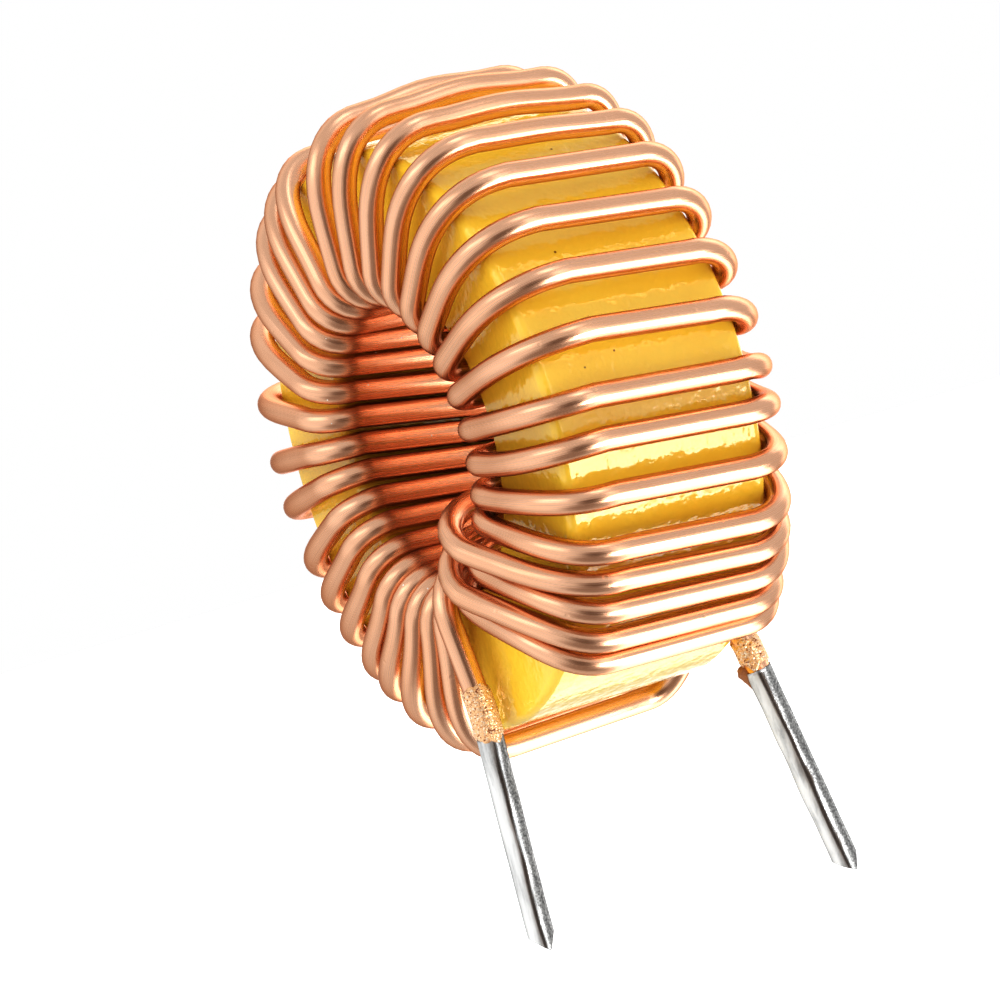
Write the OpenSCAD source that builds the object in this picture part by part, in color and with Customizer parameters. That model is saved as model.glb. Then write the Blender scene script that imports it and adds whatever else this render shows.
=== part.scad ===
// Toroidal inductor: a coated powder ring wound with one length of enamelled wire,
// whose two tinned ends are its leads. The ring stands on its rim over the board.
// The origin is the axis of the front lead where it enters the board. +Z is up,
// and the ring's own axis runs along Y, with the front face towards -Y.

/* [Core] */
// Outside diameter of the ring
core_od = 26.9; // [26:0.1:28]
// Bore of the ring
bore_d = 14.5; // [14.5:0.1:15.5]
// Height of the ring along its axis
core_h = 10; // [9:0.1:12]
// Rounding of the ring's four rims
rim_round = 0.5; // [0.4:0.1:0.8]

/* [Wire] */
// Diameter of the enamelled wire
wire_d = 1.12; // [1:0.01:1.12]
// Gap under the wire on the outside of the ring
outer_gap = 0.7; // [0.7:0.05:0.9]
// Gap under the wire on the front face
front_gap = 0.6; // [0.6:0.05:0.8]
// Gap under the wire on the rear face
rear_gap = 0.2; // [0.2:0.05:0.35]

/* [Leads] */
// Diameter of a tinned lead
lead_d = 1.24; // [1.2:0.01:1.3]
// Height at which the front lead's tin starts, over the board
front_tin_top = 1.9; // [1.6:0.1:2.2]
// Height at which the rear lead's tin starts
rear_tin_top = 1.5; // [1.3:0.1:1.8]
// Length of the tinned front lead, tip included
front_lead_len = 9.8; // [6:0.1:12]
// Length of the tinned rear lead
rear_lead_len = 10.2; // [6:0.1:12]
// Outward lean of the rear lead, in degrees
rear_lean = 11.5; // [8:0.5:14]

/* [Hidden] */

// Turns counted round the outside of the ring, as runs of [steps, degrees a step].
// Angles are seen from the front, from +X towards +Z.
outer_start = -47.7;
outer_runs = [
    [1, 5.2], [1, 6.4], [2, 5.7], [1, 10.8], [1, 9.5], [1, 7.5], [5, 10.7], [1, 12], [2, 12.8],
    [1, 20], [2, 8], [1, 12.5], [1, 10.6], [1, 15.2], [1, 12.4], [1, 9], [1, 12], [2, 7.5],
    [1, 9], [1, 6], [1, 10], [1, 12.5], [1, 9.5],
];
// A turn falls back by this much on its way from the front rim to the rear one
slant = 2.5;
// The turns wound loosest stand this much further off the outside of the ring
loose_turns = [8, 9, 10, 11, 12];
loose_extra = 0.25;

// Passes through the bore: five crowded ones, then runs like those above,
// some of them with the wires side by side
crowded_passes = [-70, -57.5, -51, -35.5, -30.3];
bore_start = -20.4;
// Three passes have no room on the bore wall and ride on their neighbours, lifted by
// this share of the wire's diameter: [pass, share]. A leg is down on the face again
// at riding_share of its way to the outer rim
riding_passes = [[1, 1.13], [3, 1.45], [32, 0.85]];
riding_share = 0.85;
// Over the front face the first turns bow up by this many degrees, halfway
bows = [7, 5.2, 5.3, 1.5, 2.4, 1.5];

// Bends of the wire's own centre line: round ones out of the bore, and over the rims
// long ones of [reach over the face, reach over the outside], squarer than an ellipse
bore_gap = 0.05;
front_bore_bend = 1.7;
rear_bore_bend = 1.2;
front_rim_bend = [4.3, 3.1];
rear_rim_bend = [3.0, 2.3];
squareness = 2.4;

// Rings of the sweep
sides = 8;
bore_bend_steps = 3;
face_steps = 2;
rim_bend_steps = 5;

// Places of the leads, measured from the ring's axis and the wire on the rear face
front_lead_x = 2.1;
rear_lead_x = 4;
rear_lead_out = 0.96;
last_bend_share = 0.85;
// Straight wire above the tin
straight_end = 1.2;
// The wedge at a lead's tip: slope of its faces off the axis, width of its ridge,
// and turn of the ridge about the axis
tip_angle = 40;
tip_ridge = 0.2;
tip_turn = 64;

wire_r = wire_d / 2;
front_y = core_h / 2 + front_gap + wire_r;
rear_y = core_h / 2 + rear_gap + wire_r;
outer_r = core_od / 2 + outer_gap + wire_r;
bore_r = bore_d / 2 - bore_gap - wire_r;
seat_gap = 0.03;
axis_h = outer_r + wire_r + seat_gap;
side_by_side = 2 * asin(1.012 * wire_r / bore_r);
bore_runs = [[20, 11.65], [1, 12.5], [1, 11.3], [4, side_by_side], [1, 7.4]];

outer_angles = running(outer_start, steps_of(outer_runs));
bore_angles = concat(crowded_passes, running(bore_start, steps_of(bore_runs)));
turns = len(outer_angles);

function steps_of(runs) = [for (run = runs) for (i = [1:run[0]]) run[1]];
function running(start, steps) =
    [for (i = 0, a = start; i <= len(steps); a = a + (i < len(steps) ? steps[i] : 0), i = i + 1) a];
function ease(u) = u * u * (3 - 2 * u);
function lift_of(pass) = wire_d * max([for (ride = riding_passes) ride[0] == pass ? ride[1] : 0]);
function bow_of(turn) = turn < len(bows) ? bows[turn] : 0;
function extra_of(turn) = max([for (loose = loose_turns) loose == turn ? loose_extra : 0]);
function around(r, angle, y) = [r * cos(angle), y, r * sin(angle)];

// A leg is the wire's way from the bore, over a face, to the outer rim. Its section is a
// quarter bend, a straight stretch and the long bend: [radius, distance from the ring's
// mid plane, outward normal] at each ring of the sweep. b0 and b1 are the two bends,
// and r1 is the radius that it reaches.
function leg_section(face_y, b0, b1, r1) = concat(
    [for (i = [0:bore_bend_steps - 1]) let (t = 90 * i / bore_bend_steps)
        [bore_r + b0 - b0 * cos(t), face_y - b0 + b0 * sin(t), -cos(t), sin(t)]],
    [for (i = [0:face_steps - 1])
        [bore_r + b0 + (r1 - b1[0] - bore_r - b0) * i / face_steps, face_y, 0, 1]],
    [for (i = [0:rim_bend_steps]) let (t = 90 * i / rim_bend_steps)
        [r1 - b1[0] + b1[0] * pow(sin(t), 2 / squareness),
         face_y - b1[1] + b1[1] * pow(cos(t), 2 / squareness), sin(t), cos(t)]]);
function step_at(section, i) =
    i < len(section) ? norm([section[i][0] - section[i - 1][0], section[i][1] - section[i - 1][1]]) : 0;
function lengths(section) =
    [for (i = 0, s = 0; i < len(section); i = i + 1, s = s + step_at(section, i)) s];

// side is -1 on the front face and 1 on the rear face
function leg(bore_angle, outer_angle, lift, extra, bow, side, face_y, b0, b1) =
    let (section = leg_section(face_y, b0, b1, outer_r + extra), along = lengths(section))
    [for (i = [0:len(section) - 1])
        let (p = section[i],
             u = along[i] / along[len(along) - 1],
             up = lift * (1 - ease(min(u / riding_share, 1))))
        around(
            p[0] + up * p[2],
            bore_angle + (outer_angle - bore_angle) * ease(u) + bow * pow(sin(180 * u), 2),
            side * (p[1] + up * p[3]))];

function front_leg(pass, outer_angle, extra = 0) = leg(
    bore_angles[pass], outer_angle, lift_of(pass), extra, bow_of(pass),
    -1, front_y, front_bore_bend, front_rim_bend);
function rear_leg(pass, outer_angle, extra = 0) = leg(
    bore_angles[pass], outer_angle, lift_of(pass), extra, 0,
    1, rear_y, rear_bore_bend, rear_rim_bend);
function reversed(points) = [for (i = [len(points) - 1:-1:0]) points[i]];
function first(points, count) = [for (i = [0:count - 1]) points[i]];

// The wire's centre line, in a frame whose origin is the middle of the ring
front_lead_top = [front_lead_x, -front_y, front_tin_top - axis_h];
rear_lead_top = [rear_lead_x, rear_y + rear_lead_out, rear_tin_top - axis_h];
rear_lead_up = [0, -sin(rear_lean), cos(rear_lean)];
rear_foot = rear_lead_top + straight_end * rear_lead_up;
rear_start = around(bore_r + rear_bore_bend, bore_angles[0], rear_y);
front_foot = front_lead_top + [0, 0, straight_end];
// The last bend rides less over the face than in the bore
last_bend = [for (p = first(front_leg(turns, bore_angles[turns]), bore_bend_steps + 1))
    [p[0], p[1] * last_bend_share - (front_y - front_bore_bend) * (1 - last_bend_share), p[2]]];
front_end = last_bend[bore_bend_steps];
// The wire leaves the rear face in a curve that flattens towards the bore
rear_run = concat([rear_lead_top], [for (u = [0, 0.3, 0.6, 0.85])
    let (p = rear_foot + u * (rear_start - rear_foot))
    [p[0], rear_y + (rear_foot[1] - rear_y) * pow(1 - u, 2), p[2]]]);
front_run = [front_end + (front_foot - front_end) / 2, front_foot, front_lead_top];
wire_line = concat(
    rear_run,
    reversed(first(rear_leg(0, bore_angles[0]), bore_bend_steps + 1)),
    [for (k = [0:turns - 1])
        each concat(
            front_leg(k, outer_angles[k], extra_of(k)),
            reversed(rear_leg(k + 1, outer_angles[k] - slant, extra_of(k))))],
    last_bend,
    front_run);

function unit(v) = v / norm(v);
function ring_at(line, i) =
    let (last = len(line) - 1,
         along = unit(line[min(i + 1, last)] - line[max(i - 1, 0)]),
         angle = atan2(line[i][2], line[i][0]),
         tangential = [-sin(angle), 0, cos(angle)],
         across = unit(tangential - (tangential * along) * along),
         over = cross(along, across))
    [for (s = [0:sides - 1])
        line[i] + wire_r * (cos(360 * s / sides) * across + sin(360 * s / sides) * over)];

module sweep(line) {
    last = len(line) - 1;
    points = [for (i = [0:last]) each ring_at(line, i)];
    walls = [for (i = [0:last - 1]) for (s = [0:sides - 1])
        let (n = (s + 1) % sides, a = i * sides, b = a + sides)
        each [[a + s, b + s, b + n], [a + s, b + n, a + n]]];
    ends = [[for (s = [0:sides - 1]) s], [for (s = [sides - 1:-1:0]) last * sides + s]];
    polyhedron(points, concat(walls, ends));
}

module from_ring_centre() {
    translate([-front_lead_x, front_y, axis_h]) children();
}

module core_profile() {
    wall = (core_od - bore_d) / 2;
    translate([bore_d / 2, -core_h / 2]) {
        translate([rim_round, 0]) square([wall - 2 * rim_round, core_h]);
        translate([0, rim_round]) square([wall, core_h - 2 * rim_round]);
        for (x = [rim_round, wall - rim_round])
            for (y = [rim_round, core_h - rim_round])
                translate([x, y]) circle(rim_round, $fn = 32);
    }
}

module core() {
    color([0.95, 0.75, 0.16])
        from_ring_centre()
            rotate([90, 0, 0])
                rotate_extrude($fn = 180) core_profile();
}

module winding() {
    color([0.85, 0.55, 0.38])
        from_ring_centre()
            sweep(wire_line);
}

// A tinned lead hangs from its top face, and side cutters left a blunt wedge at its tip
module lead(length) {
    wedge_h = (lead_d - tip_ridge / 2) / tan(tip_angle);
    intersection() {
        translate([0, 0, -length]) cylinder(h = length, d = lead_d, $fn = 48);
        rotate([90, 0, tip_turn])
            linear_extrude(2 * lead_d, center = true)
                polygon([
                    [-lead_d, 1], [lead_d, 1],
                    [lead_d, wedge_h - length], [tip_ridge / 2, -length],
                    [-tip_ridge / 2, -length], [-lead_d, wedge_h - length],
                ]);
    }
}

module front_lead() {
    color([0.78, 0.78, 0.8])
        translate([0, 0, front_tin_top])
            lead(front_lead_len);
}

module rear_lead() {
    color([0.78, 0.78, 0.8])
        from_ring_centre()
            translate(rear_lead_top)
                rotate([rear_lean, 0, 0])
                    lead(rear_lead_len);
}

core();
winding();
front_lead();
rear_lead();
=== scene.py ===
import bpy
import numpy as np
from mathutils import Matrix, Vector


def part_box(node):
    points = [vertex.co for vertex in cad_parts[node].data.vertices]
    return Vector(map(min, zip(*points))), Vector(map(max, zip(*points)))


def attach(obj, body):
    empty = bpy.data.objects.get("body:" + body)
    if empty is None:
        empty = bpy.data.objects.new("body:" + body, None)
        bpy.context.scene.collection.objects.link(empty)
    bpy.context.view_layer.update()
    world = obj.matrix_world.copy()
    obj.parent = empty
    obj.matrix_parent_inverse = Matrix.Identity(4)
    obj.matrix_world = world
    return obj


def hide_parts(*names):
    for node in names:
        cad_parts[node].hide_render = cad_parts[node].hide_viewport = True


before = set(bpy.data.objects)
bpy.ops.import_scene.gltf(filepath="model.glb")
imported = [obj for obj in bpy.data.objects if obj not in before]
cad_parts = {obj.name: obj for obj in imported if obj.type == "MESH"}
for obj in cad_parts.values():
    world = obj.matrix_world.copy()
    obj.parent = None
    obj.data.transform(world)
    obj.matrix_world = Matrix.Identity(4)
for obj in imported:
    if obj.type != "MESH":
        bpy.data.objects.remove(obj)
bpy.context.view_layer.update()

mm = 0.001                               # lengths below are in mm, Blender's in m
print("frame loaded:", ", ".join(sorted(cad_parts)))


def smooth(u):
    # 3u^2 - 2u^3 on values clipped to 0..1
    u = np.clip(u, 0.0, 1.0)
    return u * u * (3.0 - 2.0 * u)


def unit(v):
    # each vector divided by its length
    return v / np.linalg.norm(v, axis=-1, keepdims=True)


def ripple(points, size, seed, waves=28):
    # noise between about -1 and 1: a sum of sine waves about size mm long, their directions and phases
    # random, divided by the root of their number
    rng = np.random.default_rng(seed)
    along = unit(rng.normal(size=(waves, 3))) * rng.uniform(0.6, 1.5, (waves, 1)) * 2 * np.pi / size
    phase = rng.uniform(0, 2 * np.pi, waves)
    total = np.zeros(points.shape[:-1])
    for k in range(waves):
        total += np.sin(points @ along[k] + phase[k])
    return total / np.sqrt(waves)


def gridMesh(name, points, closedAcross=True, closedAlong=False, caps=(None, None), extra=None):
    # points[i, j] is the surface at step i along and j across, and four neighbours make a quad; a cap is
    # one point that closes an end by a fan; extra holds a vector for each point, and a cap takes the mean
    # of the row it closes
    rows, cols = points.shape[:2]
    verts = points.reshape(-1, 3)
    i = np.arange(rows if closedAlong else rows - 1)[:, None]
    j = np.arange(cols if closedAcross else cols - 1)[None, :]
    iNext, jNext = (i + 1) % rows, (j + 1) % cols
    corners = i * cols + j, iNext * cols + j, iNext * cols + jNext, i * cols + jNext
    quads = np.stack(np.broadcast_arrays(*corners), -1).reshape(-1, 4)
    loops, sizes = [quads.ravel()], [np.full(len(quads), 4)]
    across = np.arange(cols)
    for end, cap in zip((0, 1), caps):
        if cap is None:
            continue
        tip = len(verts)
        verts = np.vstack([verts, cap])
        edge = across + (rows - 1) * cols * end
        nextEdge = np.roll(edge, -1)
        fan = np.stack([edge, nextEdge, np.full(cols, tip)], -1)
        loops.append((fan if end else fan[:, ::-1]).ravel())
        sizes.append(np.full(cols, 3))
    loops, sizes = np.concatenate(loops), np.concatenate(sizes)
    mesh = bpy.data.meshes.new(name)
    mesh.vertices.add(len(verts))
    mesh.vertices.foreach_set("co", (verts * mm).astype(np.float32).ravel())
    mesh.loops.add(len(loops))
    mesh.loops.foreach_set("vertex_index", loops.astype(np.int32))
    mesh.polygons.add(len(sizes))
    mesh.polygons.foreach_set("loop_start", (np.cumsum(sizes) - sizes).astype(np.int32))
    mesh.polygons.foreach_set("use_smooth", np.ones(len(sizes), bool))
    mesh.update(calc_edges=True)
    mesh.validate()
    for label, values in (extra or {}).items():
        ends = [values[-end].mean(0) for end, cap in zip((0, 1), caps) if cap is not None]
        every = np.vstack([values.reshape(-1, 3), *ends]).astype(np.float32)
        mesh.attributes.new(label, "FLOAT_VECTOR", "POINT").data.foreach_set("vector", every.ravel())
    obj = bpy.data.objects.new(name, mesh)
    bpy.context.scene.collection.objects.link(obj)
    return obj


def dress(obj, material, slotName, *nodes):
    # its material, the body it rides, slotName, which is not used, and the nodes it stands for
    obj.data.materials.append(material)
    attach(obj, "root")
    if nodes:
        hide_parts(*nodes)


class Wired:
    # one output socket: arithmetic on it adds Math nodes
    def __init__(self, graph, socket):
        self.graph, self.socket = graph, socket

    def op(self, kind, *others):
        # a Math node of that kind
        return self.graph.add("ShaderNodeMath", {"operation": kind}, *others).first()

    def __add__(self, other): return self.op("ADD", self, other)
    def __radd__(self, other): return self.op("ADD", other, self)
    def __sub__(self, other): return self.op("SUBTRACT", self, other)
    def __rsub__(self, other): return self.op("SUBTRACT", other, self)
    def __mul__(self, other): return self.op("MULTIPLY", self, other)
    def __rmul__(self, other): return self.op("MULTIPLY", other, self)
    def __truediv__(self, other): return self.op("DIVIDE", self, other)
    def __rtruediv__(self, other): return self.op("DIVIDE", other, self)

    def __gt__(self, other): return self.op("GREATER_THAN", self, other)
    def __lt__(self, other): return self.op("LESS_THAN", self, other)

    def ramp(self, low, high, outLow=0.0, outHigh=1.0):
        # smooth step from outLow at low to outHigh at high
        return self.graph.add("ShaderNodeMapRange", {"interpolation_type": "SMOOTHSTEP"},
                              self, low, high, outLow, outHigh).first()


class Placed:
    # a node in the tree: its outputs by name, or the first that is on
    def __init__(self, graph, node):
        self.graph, self.node = graph, node

    def first(self):
        return self[next(s.name for s in self.node.outputs if s.enabled)]

    def __getitem__(self, name):
        found = [s for s in self.node.outputs if s.enabled and s.name == name]
        return Wired(self.graph, found[0])


class Graph:
    # a node tree that is filled by calls
    def __init__(self, tree):
        self.tree = tree
        tree.nodes.clear()

    def add(self, kind, settings=None, *values, **named):
        # settings go first, then values in socket order, then values by socket name (spaces as _)
        node = self.tree.nodes.new(kind)
        for key, value in (settings or {}).items():
            setattr(node, key, value)
        sockets = [s for s in node.inputs if s.enabled]
        pairs = list(zip(sockets, values))
        for key, value in named.items():
            pairs.append((next(s for s in sockets if s.name == key.replace("_", " ")), value))
        for socket, value in pairs:
            if isinstance(value, Wired):
                self.tree.links.new(value.socket, socket)
            elif value is not None:
                socket.default_value = value
        return Placed(self, node)

    def noise(self, where, scale, detail=3.0, rough=0.5):
        # soft noise from 0 to 1, scale features to the unit of where
        return self.add("ShaderNodeTexNoise", {"noise_dimensions": "3D"}, Vector=where, Scale=scale,
                        Detail=detail, Roughness=rough)["Fac"]

    def nearest(self, where, scale):
        # distance to the nearest of many scattered points, in cells
        return self.add("ShaderNodeTexVoronoi", {"feature": "F1"}, Vector=where, Scale=scale)["Distance"]

    def mix(self, share, a, b):
        # a where share is 0, b where it is 1
        return self.add("ShaderNodeMix", {"data_type": "RGBA", "blend_type": "MIX", "clamp_factor": True},
                        Factor=share, A=a, B=b)["Result"]

    def stretch(self, where, scale):
        # each axis times its own number
        return self.add("ShaderNodeVectorMath", {"operation": "MULTIPLY"}, where, scale)["Vector"]

    def bump(self, height, depth, after=None):
        # a height of 1 stands out by depth mm
        return self.add("ShaderNodeBump", {}, Strength=1.0, Distance=depth * mm, Height=height,
                        Normal=after)["Normal"]

    def vector(self, name):
        # a vector that the mesh holds for each point
        return self.add("ShaderNodeAttribute", {"attribute_name": name})["Vector"]


def newMaterial(name):
    # the material, its graph and the place on the object
    material = bpy.data.materials.new(name)
    material.use_nodes = True
    g = Graph(material.node_tree)
    return material, g, g.add("ShaderNodeTexCoord")["Object"]


def finish(g, **looks):
    # one shader feeds the surface
    shader = g.add("ShaderNodeBsdfPrincipled", {}, **looks)["BSDF"]
    g.add("ShaderNodeOutputMaterial", {}, Surface=shader)


def colour(r, g, b):
    # with a full alpha
    return (r, g, b, 1.0)


ring = np.array(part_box("core")) / mm
ringCentre = ring.mean(0)
coreOuter, coreHalf = (ring[1][0] - ring[0][0]) / 2, (ring[1][1] - ring[0][1]) / 2

camera = dict(
    place=(272.06, -135.13, 19.04),      # mm, from the middle of the ring
    aim=(-0.44, -1.51, -3.59),
    roll=14.42,                          # the top of the ring leans to the left
    lens=243.9, sensor=36.0, nearest=0.01,
)


def makeCamera(c):
    # looks from its place to its aim, then turns about that line
    data = bpy.data.cameras.new("camera")
    data.lens, data.sensor_width, data.clip_start = c["lens"], c["sensor"], c["nearest"]
    obj = bpy.data.objects.new("camera", data)
    eye, aim = Vector(ringCentre + c["place"]) * mm, Vector(ringCentre + c["aim"]) * mm
    facing = (aim - eye).to_track_quat("-Z", "Y").to_matrix().to_4x4()
    obj.matrix_world = Matrix.Translation(eye) @ facing @ Matrix.Rotation(np.radians(-c["roll"]), 4, "Z")
    bpy.context.scene.collection.objects.link(obj)
    bpy.context.scene.camera = obj


makeCamera(camera)
print("camera in place")


# azimuth runs from +X towards +Y and elevation up from the horizon, both in degrees
studio = dict(
    floorDepth=120.0, floorSize=3000.0, floorGrey=0.9, floorGlow=0.4,
    gamma=0.66,
    fill=0.78,                           # light from everywhere
    edgeOn=0.05,                         # a box is cut off where it would be seen edge on
    # soft boxes: azimuth, elevation, half width, half height, softness of the edge, strength
    boxes=[
        (21, -28, 17, 16, 3, 4.9),       # key, low on the right of the camera
        (26, -8, 14, 10, 7, 0.6),        # its spill on the table
        (15, 8, 7, 28, 6, 1.3),          # narrow strip
        (13, 60, 11, 15, 5, 1.3),        # overhead lamp
        (-84, 32, 26, 14, 8, 0.75),      # weak box on the left
        (54, -44, 12, 12, 5, 0.9),       # the table right of the key
        (92, -58, 46, 14, 5, 1.9),       # lit table behind, on the right
        (128, 12, 42, 44, 14, 1.2),      # pale backdrop
    ],
    # gentle differences: azimuth, elevation, inner angle, outer angle, strength
    glows=[
        (-140, -35, 20, 60, 0.1),
        (-100, 0, 20, 60, 0.25),
        (180, 45, 10, 40, 0.2),
    ],
    shades=[
        (-22, -8, 10, 28, 0.7),          # the camera and whoever holds it
        (-45, -52, 15, 40, 0.45),
    ],
    shadeTint=(1.0, 0.78, 0.66),         # the dark side of the room is warm
    tinted=(0.3, 0.9),                   # full tint below the first brightness, none above the second
    # what matt surfaces receive of it: (axis, two positions on it, the factor at each)
    onDull=[
        ((0, 0, 1), -0.3, 0.7, 1.5, 1.1),
        ((0, -1, 0), -0.2, 0.6, 1.0, 1.12),
        ((1, 0, 0), 0.0, 0.8, 1.0, 1.4),
    ],
)


def makeWorld(s):
    # light by direction: fill plus glows, times one minus each shade, plus boxes with soft edges;
    # matt surfaces see it times a factor by direction, and the camera sees plain white
    world = bpy.data.worlds.new("studio")
    bpy.context.scene.world = world
    world.use_nodes = True
    g = Graph(world.node_tree)
    where = g.add("ShaderNodeTexCoord")["Generated"]

    def toward(azimuth, elevation):
        # the unit vector of two angles in degrees
        a, e = np.radians(azimuth), np.radians(elevation)
        return Vector((np.cos(e) * np.cos(a), np.cos(e) * np.sin(a), np.sin(e)))

    def facing(direction):
        # cosine of the angle off a direction
        return g.add("ShaderNodeVectorMath", {"operation": "DOT_PRODUCT"}, where, tuple(direction))["Value"]

    def glow(azimuth, elevation, inner, outer):
        # 1 within the inner angle, 0 beyond the outer one
        return facing(toward(azimuth, elevation)).ramp(
            float(np.cos(np.radians(outer))), float(np.cos(np.radians(inner))))

    def box(azimuth, elevation, width, height, soft):
        # a rectangle on a plane square to its direction: offsets are tangents of angles
        ahead = toward(azimuth, elevation)
        side = ahead.cross(Vector((0, 0, 1))).normalized()
        depth = facing(ahead)
        distance = depth.op("MAXIMUM", depth, s["edgeOn"])

        def within(direction, half):
            # 1 inside the half angle less the soft edge, 0 beyond the half angle
            offset = facing(direction) / distance
            rim, inner = (float(np.tan(np.radians(v))) for v in (half, half - soft))
            return offset.op("ABSOLUTE", offset).ramp(rim, inner, 0.0, 1.0)

        return within(side, width) * within(side.cross(ahead), height) * (depth > s["edgeOn"])

    level = None
    for *place, strength in s["glows"]:
        part = glow(*place) * strength
        level = part if level is None else level + part
    level = level + s["fill"]
    clear = None
    for *place, strength in s["shades"]:
        part = 1.0 - glow(*place) * strength
        clear = part if clear is None else clear * part
    level = level * clear
    for *place, strength in s["boxes"]:
        level = level + box(*place) * strength
    path = g.add("ShaderNodeLightPath")
    for axis, *steps in s["onDull"]:
        level = level * (1.0 + path["Is Diffuse Ray"] * (facing(axis).ramp(*steps) - 1.0))
    white = colour(1, 1, 1)
    tint = g.mix(clear.ramp(*s["tinted"]), colour(*s["shadeTint"]), white)
    lit = g.add("ShaderNodeBackground", {}, Color=tint, Strength=level)["Background"]
    seen = g.add("ShaderNodeBackground", {}, Color=white, Strength=1.0)["Background"]
    both = g.add("ShaderNodeMixShader", {}, path["Is Camera Ray"], lit, seen)["Shader"]
    g.add("ShaderNodeOutputWorld", {}, Surface=both)


def makeFloor(s):
    # one flat square well below the part
    half = s["floorSize"] / 2
    corners = np.array([[[-half, -half], [-half, half]], [[half, -half], [half, half]]])
    points = np.concatenate([corners, np.full((2, 2, 1), -s["floorDepth"])], -1)
    floor = gridMesh("floor", points, closedAcross=False)
    material, g = newMaterial("pale_floor")[:2]
    finish(g, Base_Color=colour(*[s["floorGrey"]] * 3), Roughness=0.9,
           Emission_Color=colour(1, 1, 1), Emission_Strength=s["floorGlow"])
    floor.data.materials.append(material)
    floor.visible_glossy = floor.visible_diffuse = False


makeWorld(studio)
makeFloor(studio)
view = bpy.context.scene.view_settings
view.view_transform, view.look, view.gamma = "Standard", "None", studio["gamma"]
print("studio lit")


wire = dict(
    radius=0.56, boreRadius=7.25,
    outerGap=0.72, frontGap=0.6, rearGap=0.2, boreGap=0.05,
    # bends: round ones out of the bore, and (reach over the face, reach over the outside) at the rims
    frontBoreBend=1.7, rearBoreBend=1.2, frontRimBend=(4.3, 3.1), rearRimBend=(3.0, 2.3),
    squareness=2.4,                      # 2 is an ellipse
    # a turn that stands further off the ring reaches further over the face and starts to bend earlier
    looseReach=0.9, looseDrop=1.8,
    outerStart=-47.7,
    # runs of (steps, degrees a step), round the outside of the ring
    outerRuns=[(1, 5.2), (1, 6.4), (2, 5.7), (1, 10.8), (1, 9.5), (1, 7.5), (5, 10.7), (1, 12), (2, 12.8),
               (1, 20), (2, 8), (1, 12.5), (1, 10.6), (1, 15.2), (1, 12.4), (1, 9), (1, 12), (2, 7.5),
               (1, 9), (1, 6), (1, 10), (1, 12.5), (1, 9.5)],
    crowded=[-70, -57.5, -51, -35.5, -30.3],      # the first passes in the bore, then runs as outside
    boreStart=-20.4,
    boreRuns=[(8, 11.65), (4, 12.2), (3, 11.65), (3, 11), (2, 11.5), (1, 12.5), (1, 11.3),
              (4, 0), (1, 7.4)],         # 0: side by side
    touching=1.012,                      # distance of two such passes, in the wire's diameters
    # how much further round single turns leave the front rim, and how far they fall back at the rear one
    ahead=[0.4, 0.5, 0.5, 0.8, 0.9],
    slant=2.5, slants=[1.25, 1.75, 2.2, 2.5, 2.4],
    # a pass through the bore runs ahead of its front end by these degrees: (passes, degrees)
    twist=([5, 9, 14, 18, 20, 23, 25, 26, 27], [4, -3.5, -3.5, 13.5, 13.5, 11.5, 8.2, 5.5, 4]),
    # how far a leg over the rear face sags backwards: (turns, degrees)
    sag=([3, 5, 7, 8, 9, 10, 13, 16], [0, -2.2, -5.4, -6.9, -7.4, -6.6, -6, 0]),
    bow=[7, 5.2, 5.3, 1.5, 2.4, 1.5],    # the same over the front face, turn by turn
    # passes that lie on others, in the wire's diameters, and how much of a leg they take to come down
    riding={1: 1.13, 3: 1.45, 32: 0.85}, ridingShare=0.85,
    # by turn, in mm: how much further off the ring it stands, the same at the rear rim where that
    # differs, and how much more half way between the rims
    loose={5: -0.08, 6: -0.12, 7: -0.1, 8: 0.25, 9: 0.25, 10: 0.25, 11: 0.25, 12: 0.25, 16: -0.15,
           29: -0.12, 30: -0.15, 31: -0.2},
    looseBack={9: 0.2, 10: 0, 11: 0, 12: -0.2, 13: -0.4, 14: -0.2},
    bulge={12: 0.1, 13: 0.25, 14: 0.3, 15: 0.3, 16: 0.2},
    # circles on a quarter bend, a face, a rim bend, a straight stretch and the runs to the leads
    boreRings=7, faceRings=9, rimRings=12, straightRings=9, climbRings=13, dropRings=11, sides=22,
    frontTinTop=1.9, rearTinTop=1.5, rearLeadX=4.0, rearLeadOut=0.96, rearLean=11.5,
    straightEnd=1.2, lastBendShare=0.85,
)


def running(start, steps):
    # the start, then each sum of the steps so far
    return np.concatenate([[start], start + np.cumsum(steps)])


def spread(runs, otherwise=0.0):
    # runs of (count, value) written out
    return np.concatenate([np.full(n, float(value or otherwise)) for n, value in runs])


def around(r, angle, y):
    # a point at radius r and an angle in degrees, seen from the front
    a = np.radians(angle)
    return np.stack(np.broadcast_arrays(r * np.cos(a), y, r * np.sin(a)), -1)


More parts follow.
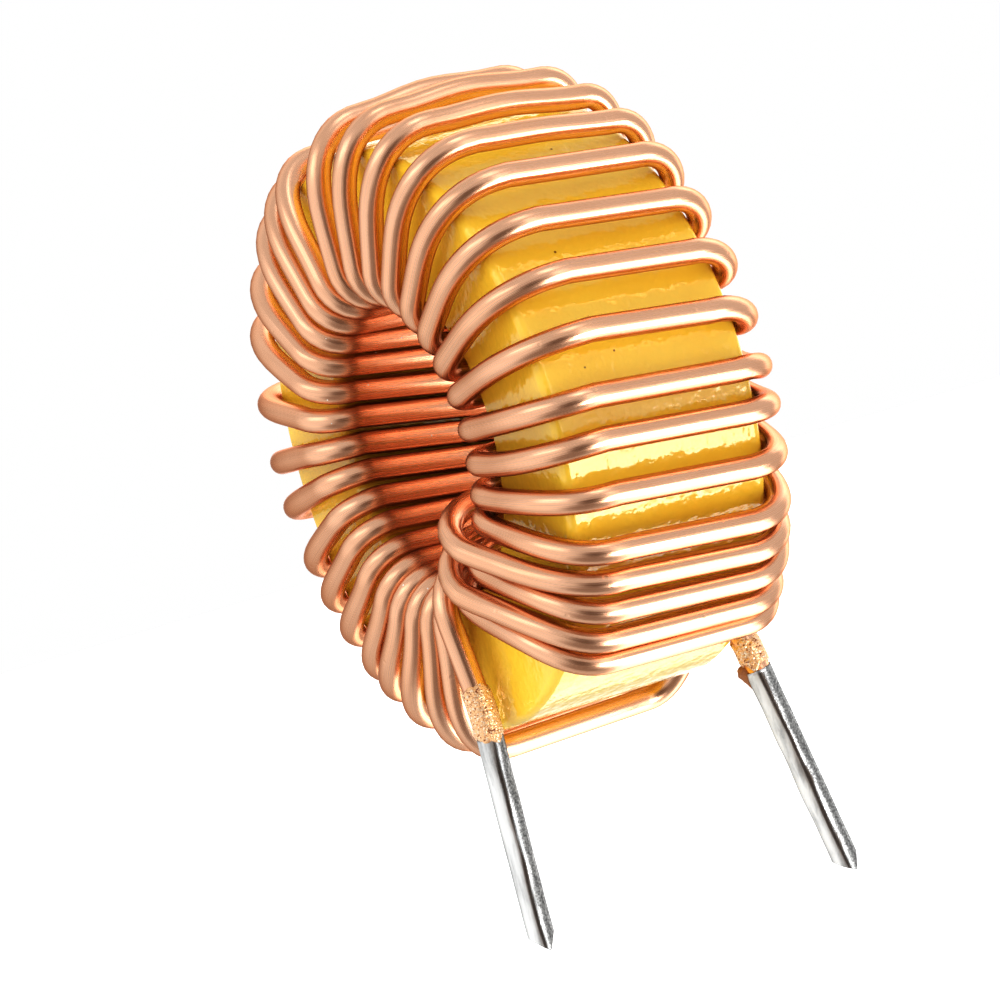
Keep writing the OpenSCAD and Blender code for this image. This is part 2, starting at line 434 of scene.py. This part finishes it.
def wirePath(w):
    # centre line about the middle of the ring: each turn is a leg over the front face, a straight
    # stretch outside, a leg over the rear face and a straight stretch in the bore
    frontY = coreHalf + w["frontGap"] + w["radius"]
    rearY = coreHalf + w["rearGap"] + w["radius"]
    outerR = coreOuter + w["outerGap"] + w["radius"]
    boreR = w["boreRadius"] - w["boreGap"] - w["radius"]
    sideBySide = 2 * np.degrees(np.arcsin(w["touching"] * w["radius"] / boreR))
    outer = running(w["outerStart"], spread(w["outerRuns"]))
    bore = np.concatenate([w["crowded"], running(w["boreStart"], spread(w["boreRuns"], sideBySide))])
    turns = len(outer)
    bow = np.concatenate([w["bow"], np.zeros(turns)])
    slant = np.concatenate([w["slants"], np.full(turns, w["slant"])])
    outer[:len(w["ahead"])] += w["ahead"]
    rearBore = bore + np.interp(np.arange(turns + 1), *w["twist"])
    sag = np.interp(np.arange(-1, turns), *w["sag"])
    looseBack = {**w["loose"], **w["looseBack"]}

    def leg(k, boreAngle, angle, extra, bowed, side, faceY, b0, rim):
        # section: quarter bend, straight, then |sin|^p and |cos|^p; the angle eases from bore to rim, and
        # the bow adds sin^2 of the way gone
        power, r1 = 2 / w["squareness"], outerR + extra
        reach, drop = rim[0] + w["looseReach"] * extra, rim[1] + w["looseDrop"] * extra
        t0 = np.linspace(0, np.pi / 2, w["boreRings"], endpoint=False)
        t1 = np.linspace(0, np.pi / 2, w["rimRings"] + 1)
        over = np.linspace(boreR + b0, r1 - reach, w["faceRings"], endpoint=False)
        flat = np.zeros(w["faceRings"])
        r = np.concatenate([boreR + b0 - b0 * np.cos(t0), over,
                            r1 - reach + reach * np.abs(np.sin(t1)) ** power])
        y = np.concatenate([faceY - b0 + b0 * np.sin(t0), flat + faceY,
                            faceY - drop + drop * np.abs(np.cos(t1)) ** power])
        outR = np.concatenate([-np.cos(t0), flat, np.sin(t1)])
        outY = np.concatenate([np.sin(t0), flat + 1, np.cos(t1)])
        u = running(0, np.hypot(np.diff(r), np.diff(y)))
        u = u / u[-1]
        up = w["riding"].get(k, 0.0) * 2 * w["radius"] * (1 - smooth(u / w["ridingShare"]))
        angles = boreAngle + (angle - boreAngle) * smooth(u) + bowed * np.sin(np.pi * u) ** 2
        return around(r + up * outR, angles, side * (y + up * outY))

    def frontLeg(k, angle):
        # from the bore out to the rim
        return leg(k, bore[k], angle, w["loose"].get(k, 0.0), bow[k], -1,
                   frontY, w["frontBoreBend"], w["frontRimBend"])

    def rearLeg(k, angle):
        # from the rim in to the bore
        return leg(k, rearBore[k], angle, looseBack.get(k - 1, 0.0), sag[k], 1,
                   rearY, w["rearBoreBend"], w["rearRimBend"])[::-1]

    def between(a, b, push=0.0):
        # circles on a straight stretch, outside the ring or in its bore; sin^2 carries them outwards
        u = np.linspace(0, 1, w["straightRings"] + 1)[1:-1, None]
        return (a + (b - a) * u) * (1 + push / outerR * np.sin(np.pi * u) ** 2 * [1, 0, 1])

    frontTop = np.array([-ringCentre[0], -ringCentre[1], w["frontTinTop"] - ringCentre[2]])
    rearTop = np.array([w["rearLeadX"], rearY + w["rearLeadOut"], w["rearTinTop"] - ringCentre[2]])
    lean = np.radians(w["rearLean"])
    rearUp = np.array([0, -np.sin(lean), np.cos(lean)])
    rearFoot = rearTop + w["straightEnd"] * rearUp
    rearStart = around(boreR + w["rearBoreBend"], bore[0], rearY)
    u = np.linspace(0, 1, w["climbRings"] + 1)[:-1, None]
    climb = rearFoot + u * (rearStart - rearFoot)
    climb[:, 1] = rearY + (rearFoot[1] - rearY) * (1 - u[:, 0]) ** 2
    parts = [rearTop[None], (rearTop + rearFoot)[None] / 2, climb, rearLeg(0, bore[0])[-w["boreRings"] - 1:]]
    for k in range(turns):
        front, rear = frontLeg(k, outer[k]), rearLeg(k + 1, outer[k] - slant[k])
        outside = between(front[-1], rear[0], w["bulge"].get(k, 0.0))
        parts += [between(parts[-1][-1], front[0]), front, outside, rear]
    last = frontLeg(turns, bore[turns])[:w["boreRings"] + 1]
    share = w["lastBendShare"]
    last[:, 1] = last[:, 1] * share - (frontY - w["frontBoreBend"]) * (1 - share)
    foot = frontTop + [0, 0, w["straightEnd"]]
    hang = last[-1] + np.linspace(0, 1, w["dropRings"] + 1)[1:, None] * (foot - last[-1])
    parts += [between(parts[-1][-1], last[0]), last, hang, (foot + frontTop)[None] / 2, frontTop[None]]
    return np.concatenate(parts), rearUp


def tube(line, radius, sides):
    # circles across the line; each starts from the direction round the ring, so the tube never twists
    along = unit(np.gradient(line, axis=0))
    angle = np.arctan2(line[:, 2], line[:, 0])
    tangential = np.stack([-np.sin(angle), np.zeros_like(angle), np.cos(angle)], -1)
    across = unit(tangential - np.sum(tangential * along, -1, keepdims=True) * along)
    over = np.cross(along, across)
    theta = np.linspace(0, 2 * np.pi, sides, endpoint=False)
    ring = np.cos(theta)[:, None] * across[:, None] + np.sin(theta)[:, None] * over[:, None]
    return line[:, None] + radius * ring, theta


copper = dict(
    pale=(0.97, 0.64, 0.455), deep=(0.95, 0.61, 0.42), streak=(0.88, 0.49, 0.30), streakShare=0.25,
    edge=(0.6, 0.36, 0.26),              # what glancing light keeps
    grooves=(0.05, 7.0, 7.0), hairlines=(0.10, 20.0, 20.0),             # to the mm, along and across
    cloudScale=260.0, grainScale=9000.0, pitScale=900.0,                # to the metre
    grooveDepth=0.008, hairDepth=0.0045, grainDepth=0.0012, pitDepth=0.006,
    dustScale=1300.0, dustSize=0.055, dustReach=7.0, dust=(1.0, 0.95, 0.9),
    rough=(0.24, 0.32), enamel=0.15, enamelRough=0.3,
)


def makeCopper(c):
    # bare-looking metal under clear enamel: grooves and hairlines left by the drawing die are noise
    # stretched along the wire, and within dustReach of the ring's axis dust lies where a cell is nearest
    material, g, spot = newMaterial("enamelled_copper")
    drawn = g.vector("drawn")            # mm along the wire, then across it
    grooves = g.noise(g.stretch(drawn, c["grooves"]), 1.0, 2.0, 0.6)
    hairlines = g.noise(g.stretch(drawn, c["hairlines"]), 1.0, 2.0, 0.6)
    cloud = g.noise(spot, c["cloudScale"])
    grain = g.noise(spot, c["grainScale"], 2.0)
    pits = g.nearest(spot, c["pitScale"]).ramp(0.04, 0.12)
    base = g.mix(cloud.ramp(0.35, 0.7), colour(*c["pale"]), colour(*c["deep"]))
    base = g.mix(hairlines.ramp(0.45, 0.8) * c["streakShare"], base, colour(*c["streak"]))
    away = g.add("ShaderNodeVectorMath", {"operation": "SUBTRACT"}, spot, tuple(ringCentre * mm))["Vector"]
    offAxis = g.add("ShaderNodeVectorMath", {"operation": "LENGTH"}, g.stretch(away, (1.0, 0.0, 1.0)))["Value"]
    dust = (g.nearest(spot, c["dustScale"]) < c["dustSize"]) * (offAxis < c["dustReach"] * mm)
    base = g.mix(dust, base, colour(*c["dust"]))
    normal = g.bump(grooves, c["grooveDepth"])
    for height, depth in ((hairlines, c["hairDepth"]), (grain, c["grainDepth"]), (pits, c["pitDepth"])):
        normal = g.bump(height, depth, after=normal)
    finish(g, Base_Color=base, Metallic=1.0 - dust, Roughness=hairlines.ramp(0.3, 0.8, *c["rough"]),
           Normal=normal, Specular_Tint=colour(*c["edge"]),
           Coat_Weight=c["enamel"], Coat_Roughness=c["enamelRough"], Coat_IOR=1.5)
    return material


line, rearUp = wirePath(wire)
rings, theta = tube(line, wire["radius"], wire["sides"])
length = running(0, np.linalg.norm(np.diff(line, axis=0), axis=1))
across = wire["radius"] * np.stack([np.cos(theta), np.sin(theta)])
drawn = np.stack(np.broadcast_arrays(length[:, None], across[0], across[1]), -1)
rearTop, frontTop = line[0] + ringCentre, line[-1] + ringCentre
winding = gridMesh("wound_wire", rings + ringCentre, caps=(rearTop, frontTop), extra={"drawn": drawn})
dress(winding, makeCopper(copper), "copper_wire", "winding")
print("wire wound:", len(line), "rings,", round(float(length[-1])), "mm")


coat = dict(
    boreRadius=7.25, rim=0.42,
    round=20, face=26, wall=40, around=470,       # points on a rounded edge, a face, a wall and round the ring
    wave=0.012, waveSize=6.0, peel=0.0015, peelSize=0.8,
    sunk=0.8,                            # share of the wave by which the whole surface is drawn in
    deep=(0.95, 0.69, 0.09), pale=(0.96, 0.735, 0.11), pit=(0.22, 0.09, 0.01),
    cloudScale=180.0, pitScale=620.0,
    # noise to the metre, its roughness, depth in mm
    skin=((1300.0, 0.45, 0.045), (2600.0, 0.5, 0.014), (6500.0, 0.5, 0.003)),
    rough=0.1, ior=1.85,
)


def coreSurface(c):
    # a rounded rectangle carried round the ring's axis, then pushed in and out a little along its normal
    r0, r1, h, f = c["boreRadius"], coreOuter, coreHalf, c["rim"]
    quarter = np.linspace(0, np.pi / 2, c["round"])
    profile, normals = [], []
    # each corner's middle, the angle it starts at, where the flat after it ends, and the points on that
    for centre, start, end, steps in (
            ((r1 - f, h - f), 0, (r0 + f, h), c["face"]),
            ((r0 + f, h - f), 90, (r0, f - h), c["wall"]),
            ((r0 + f, f - h), 180, (r1 - f, -h), c["face"]),
            ((r1 - f, f - h), 270, (r1, h - f), c["wall"])):
        a = quarter + np.radians(start)
        n = np.stack([np.cos(a), np.sin(a)], -1)
        profile.append(np.array(centre) + f * n)
        normals.append(n)
        u = np.linspace(0, 1, steps)[1:-1, None]
        profile.append(profile[-1][-1] + u * (np.array(end) - profile[-1][-1]))
        normals.append(np.repeat(n[-1:], steps - 2, 0))
    profile, normals = np.concatenate(profile), np.concatenate(normals)
    a = np.linspace(0, 2 * np.pi, c["around"], endpoint=False)[:, None]

    def spun(p):
        # the section's points (radius, height) at every angle
        return np.stack(np.broadcast_arrays(p[:, 0] * np.cos(a), p[:, 1], p[:, 0] * np.sin(a)), -1)

    points, outward = spun(profile), spun(normals)
    push = c["wave"] * ripple(points, c["waveSize"], 3) + c["peel"] * ripple(points, c["peelSize"], 5)
    return points + outward * (push - c["wave"] * c["sunk"])[..., None]


def makeCoat(c):
    # glossy paint of two yellows mixed by a cloud, with orange peel at three sizes and a few pits
    material, g, spot = newMaterial("yellow_epoxy")
    cloud = g.noise(spot, c["cloudScale"])
    pits = g.nearest(spot, c["pitScale"]).ramp(0.02, 0.05)
    base = g.mix(cloud.ramp(0.3, 0.7), colour(*c["deep"]), colour(*c["pale"]))
    base = g.mix(pits, colour(*c["pit"]), base)
    normal = None
    for scale, rough, depth in c["skin"]:
        normal = g.bump(g.noise(spot, scale, 2.0, rough), depth, after=normal)
    finish(g, Base_Color=base, Roughness=c["rough"], IOR=c["ior"], Normal=normal)
    return material


coated = gridMesh("coated_ring", coreSurface(coat)[:, ::-1] + ringCentre, closedAlong=True)
dress(coated, makeCoat(coat), "yellow_coat", "core")
print("core coated")


lead = dict(
    radius=0.62, frontLength=9.8, rearLength=10.2,
    # the tip is cut by two planes: their slopes off the axis, how far off it they meet, the ridge that is
    # left there, and how far the cut is turned
    steep=24.0, slant=53.0, meet=0.28, ridge=0.06, turn=64.0,
    barRows=60, tipRows=50, tipLength=1.2, sides=64,
    # unevenness: height, how many heights the whole surface is drawn in, size, stretch along the wire
    rough=0.012, sunk=0.8, roughSize=0.8, drawnOut=0.4,
    # azimuths, middle and half width: a side of painted shade, a dark streak of painted reflection, and a pale
    # side of painted highlight
    sectors=((44, 48), (-19, 6), (-77, 50)),
    # their edges wander by so many degrees over so many mm, and are so many degrees wide
    wander=6.0, wanderSize=1.5, wanderOut=0.3, blur=8.0,
    streakScale=2400.0, lumpScale=900.0, grainScale=10000.0,            # to the metre
    streakDepth=0.010, lumpDepth=0.02, grainDepth=0.004,                # mm
    bright=(0.92, 0.93, 0.93), grey=(0.50, 0.51, 0.51),
    # the painted shade side's two greys, the painted reflection streak's dark, and the tint of glancing light
    oxide=(0.24, 0.24, 0.24), paleOxide=(0.66, 0.66, 0.65), dark=(0.25, 0.25, 0.25), edge=(0.4, 0.4, 0.4),
)


def leadSurface(c, top, length, lean, seed):
    # a round bar hanging from its top: the coordinate across the wedge is clipped between the two planes;
    # the mask of painted light and shade is 1 inside each sector of azimuth and falls to 0 at its edges
    depth = np.concatenate([np.linspace(0, length - c["tipLength"], c["barRows"]),
                            length - np.linspace(c["tipLength"], 0, c["tipRows"] + 1)[1:]])
    left = (length - depth)[:, None]
    theta = np.linspace(0, 2 * np.pi, c["sides"], endpoint=False)[None, :]
    across = c["radius"] * np.cos(theta) * np.ones_like(left)
    other = c["radius"] * np.sin(theta) * np.ones_like(left)
    low = c["meet"] - c["ridge"] / 2 - left * np.tan(np.radians(c["slant"]))
    high = c["meet"] + c["ridge"] / 2 + left * np.tan(np.radians(c["steep"]))
    across = np.clip(across, low, high)
    turn = np.radians(c["turn"])
    points = np.stack([across * np.cos(turn) - other * np.sin(turn),
                       across * np.sin(turn) + other * np.cos(turn),
                       -depth[:, None] * np.ones_like(across)], -1)
    uneven = ripple(points * [1, 1, c["drawnOut"]], c["roughSize"], seed) - c["sunk"]
    azimuth = np.degrees(np.arctan2(points[..., 1], points[..., 0]))
    azimuth = azimuth + c["wander"] * ripple(points * [1, 1, c["wanderOut"]], c["wanderSize"], seed + 30)
    # painted light and shade by side: one mask for each sector of azimuth
    paintedLightSides = [smooth((half - np.abs((azimuth - middle + 180) % 360 - 180)) / c["blur"] + 0.5)
            for middle, half in c["sectors"]]
    points[..., :2] *= (1 + c["rough"] / c["radius"] * uneven)[..., None]
    a = np.radians(lean)
    tilt = np.array([[1, 0, 0], [0, np.cos(a), -np.sin(a)], [0, np.sin(a), np.cos(a)]])
    tip = np.append(points[-1, :, :2].mean(0), -length)
    return points @ tilt.T + top, top + tilt @ tip, np.stack(paintedLightSides, -1)


def makeTin(c):
    # tin wiped along the wire: streaks drawn out along it, then three sectors over them: painted shade with a
    # grain (x), a painted reflection as a dark streak (y) and a painted highlight as a pale, less metallic
    # side (z)
    material, g, spot = newMaterial("tinned_copper")
    streaks = g.noise(g.stretch(spot, (1.0, 1.0, 0.12)), c["streakScale"], 4.0, 0.6)
    lumps = g.noise(spot, c["lumpScale"])
    grain = g.noise(spot, c["grainScale"], 3.0, 0.65)
    paintedLightSides = g.add("ShaderNodeSeparateXYZ", {}, g.vector("paintedLightSides"))
    base = g.mix(streaks.ramp(0.42, 0.72) * (0.4 + grain), colour(*c["bright"]), colour(*c["grey"]))
    # painted shade: the side in its sector is darker and duller, grained between two greys
    dull = g.mix(grain.ramp(0.35, 0.65), colour(*c["oxide"]), colour(*c["paleOxide"]))
    base = g.mix(paintedLightSides["X"], base, dull)
    # painted reflection: a dark streak down the side that faces the camera
    base = g.mix(paintedLightSides["Y"] * (0.3 + grain * 0.8), base, colour(*c["dark"]))
    normal = g.bump(lumps, c["lumpDepth"])
    normal = g.bump(streaks, c["streakDepth"], after=normal)
    normal = g.bump(grain, c["grainDepth"], after=normal)
    # painted highlight: the pale side is less metallic; the painted shade side is also rougher
    finish(g, Base_Color=base, Metallic=1.0 - paintedLightSides["Z"] * 0.45,
           Roughness=lumps.ramp(0.3, 0.7, 0.14, 0.26) + paintedLightSides["X"] * 0.15, Normal=normal,
           Specular_Tint=colour(*c["edge"]))
    return material


tin = makeTin(lead)
for name, node, top, size, lean, seed in (
        ("front_tinned_end", "front_lead", frontTop, lead["frontLength"], 0.0, 11),
        ("rear_tinned_end", "rear_lead", rearTop, lead["rearLength"], wire["rearLean"], 12)):
    points, tip, paintedLightSides = leadSurface(lead, top, size, lean, seed)
    dress(gridMesh(name, points, caps=(top, tip), extra={"paintedLightSides": paintedLightSides}), tin, "tin", node)
print("leads tinned")


crust = dict(
    thick=0.06, inside=0.06,             # over the wire, and how far inside it the sleeve's ends lie
    edge=0.3, edgeIn=0.1,                # how soon it rises from its ends, and how far in it starts to
    ragged=0.22, raggedWidth=0.6, raggedSize=0.9,     # its ends wander by a ripple taken on a circle
    # how many times the grains' discs would cover it, their largest radius, the share of that they have,
    # and how far they stand out
    grains=9.0, grainSize=0.1, grainSpread=(0.45, 1.0), proud=0.055,
    rows=150, sides=130, reached=60,     # rows and sides of the sleeve, circles of the wire it may cover
    # below the tin's top, above it
    front=(0.25, 2.5), rear=(0.15, 1.9),
    # a bead of flux on the side that faces the front: radius, distance off the wire's axis, height above
    # the tin, how far it sits in the wire, and how uneven it is
    bead=0.27, beadOut=0.66, beadUp=0.12, beadIn=0.04, beadRows=40, beadSides=32,
    beadRough=0.12, beadRoughSize=0.35, beadSeed=23, beadKind=(0.12, 0.15, 1.0),
    beadEnds=(0.01, -0.03),              # how far up its two end points lie from its end rows
    drip=(0.07, 0.7),                    # radius and length
    frontwards=(-0.457, -0.889, 0.0),
    burnt=(0.34, 0.15, 0.07), golden=(0.90, 0.61, 0.36), pale=(0.98, 0.86, 0.70), between=(0.50, 0.24, 0.11),
    fineScale=14000.0, fineDepth=0.006,
)


def domes(points, places, sizes, proud):
    # 1 - (distance / size)^2 for the dome that is tallest at each point, and which dome that is, worked
    # out in shares to save memory
    flat = points.reshape(-1, 3)
    best, which, shares = np.zeros(len(flat)), np.zeros(len(flat), int), 16
    for part in np.array_split(np.arange(len(flat)), shares):
        gap = ((flat[part, None] - places[None]) ** 2).sum(-1)
        height = 1 - gap / sizes ** 2
        which[part] = height.argmax(1)
        best[part] = height.max(1)
    return (proud * np.clip(best, 0, 1)).reshape(points.shape[:-1]), which.reshape(points.shape[:-1])


def crustSurface(c, run, up, below, above, seed):
    # a sleeve along the wire: its radius rises from inside the wire to the crust, plus domes for the
    # grains; run is the wire's centre line from the top of the tin, and below that it goes straight down
    rng = np.random.default_rng(seed)
    h = np.linspace(-below, above, c["rows"])[:, None]
    theta = np.linspace(0, 2 * np.pi, c["sides"], endpoint=False)[None, :]
    side = unit(np.cross(up, [1.0, 0.3, 0.0]))    # any direction across the wire
    other = np.cross(up, side)
    spoke = np.cos(theta)[..., None] * side + np.sin(theta)[..., None] * other
    circle = c["raggedWidth"] * np.stack([np.cos(theta), np.sin(theta), 0 * theta], -1)
    wander = c["ragged"] * ripple(circle, c["raggedSize"], seed) - c["edgeIn"]
    ends = smooth((h + below + wander) / c["edge"]) * smooth((above - h + wander) / c["edge"])
    base = wire["radius"] - c["inside"] + (c["thick"] + c["inside"]) * ends
    travelled = running(0, np.linalg.norm(np.diff(run, axis=0), axis=1))
    centre = np.stack([np.interp(h, travelled, run[:, axis]) for axis in range(3)], -1)
    centre = centre + up * np.minimum(h, 0)[..., None]
    skin = centre + spoke * base[..., None]
    area = (above + below) * 2 * np.pi * wire["radius"]
    count = int(c["grains"] * area / (np.pi * c["grainSize"] ** 2))
    places = skin.reshape(-1, 3)[rng.choice(skin.shape[0] * skin.shape[1], count, replace=False)]
    sizes = c["grainSize"] * rng.uniform(*c["grainSpread"], count)
    height, which = domes(skin, places, sizes, c["proud"])
    points = skin + spoke * (height * ends)[..., None]
    kind = np.stack([rng.random(count)[which], height / c["proud"], ends], -1)
    return points, kind, (centre[0, 0], centre[-1, 0])


def beadSurface(c, top, up, toward):
    # a ball, and a tail that bends in to the wire below it: the radius at a height is the larger of the
    # ball's and the tail's, made uneven by a ripple
    size, (thin, tall) = c["bead"], c["drip"]
    u = np.linspace(0, 1, c["beadRows"])[1:-1, None]
    h = size * np.cos(np.pi * u) - tall * u ** 3
    r = np.maximum(size * np.sin(np.pi * u), thin * np.sqrt(np.clip(1 - u, 0, 1)) * np.ones_like(u))
    theta = np.linspace(0, 2 * np.pi, c["beadSides"], endpoint=False)[None, :]
    other = np.cross(up, toward)
    centre = top + up * c["beadUp"] + toward * c["beadOut"]
    sink = toward * (c["beadOut"] - wire["radius"] - c["beadIn"])
    middle = centre + up * h[..., None] - sink * smooth(-h[..., None] / tall)
    spoke = np.cos(theta)[..., None] * toward + np.sin(theta)[..., None] * other
    uneven = 1 + c["beadRough"] * ripple(middle + size * spoke, c["beadRoughSize"], c["beadSeed"])
    points = middle + spoke * (r * uneven)[..., None]
    ends = [middle[row, 0] + up * rise for row, rise in zip((0, -1), c["beadEnds"])]
    return points, np.zeros_like(points) + c["beadKind"], ends


def makeFlux(c):
    # burnt flux, by the grain attribute: a random number (x) picks burnt, golden or pale, and where no
    # grain stands out (y) it is the brown between them
    material, g, spot = newMaterial("burnt_flux")
    kind = g.add("ShaderNodeSeparateXYZ", {}, g.vector("grain"))
    fine = g.noise(spot, c["fineScale"], 2.0)
    which, proud = kind["X"], kind["Y"]
    base = g.mix(which.ramp(0.1, 0.2), colour(*c["burnt"]), colour(*c["golden"]))
    base = g.mix(which.ramp(0.6, 0.9), base, colour(*c["pale"]))
    base = g.mix(proud.ramp(-0.1, 0.3), colour(*c["between"]), base)
    finish(g, Base_Color=base, Roughness=fine.ramp(0.3, 0.7, 0.12, 0.35),
           Metallic=which.ramp(0.35, 0.45) * 0.4, Normal=g.bump(fine, c["fineDepth"]))
    return material


flux = makeFlux(crust)
for name, run, up, reach, seed in (
        ("front_flux_crust", line[::-1] + ringCentre, np.array([0, 0, 1.0]), crust["front"], 21),
        ("rear_flux_crust", line + ringCentre, rearUp, crust["rear"], 22)):
    points, kind, closing = crustSurface(crust, run[:crust["reached"]], up, *reach, seed)
    dress(gridMesh(name, points[:, ::-1], caps=closing, extra={"grain": kind[:, ::-1]}), flux, "copper_wire")
frontwards = np.array(crust["frontwards"])
frontwards = unit(frontwards - frontwards @ rearUp * rearUp)
points, kind, closing = beadSurface(crust, rearTop, rearUp, frontwards)
dress(gridMesh("rear_flux_bead", points, caps=closing, extra={"grain": kind}), flux, "copper_wire")
print("flux crusted")
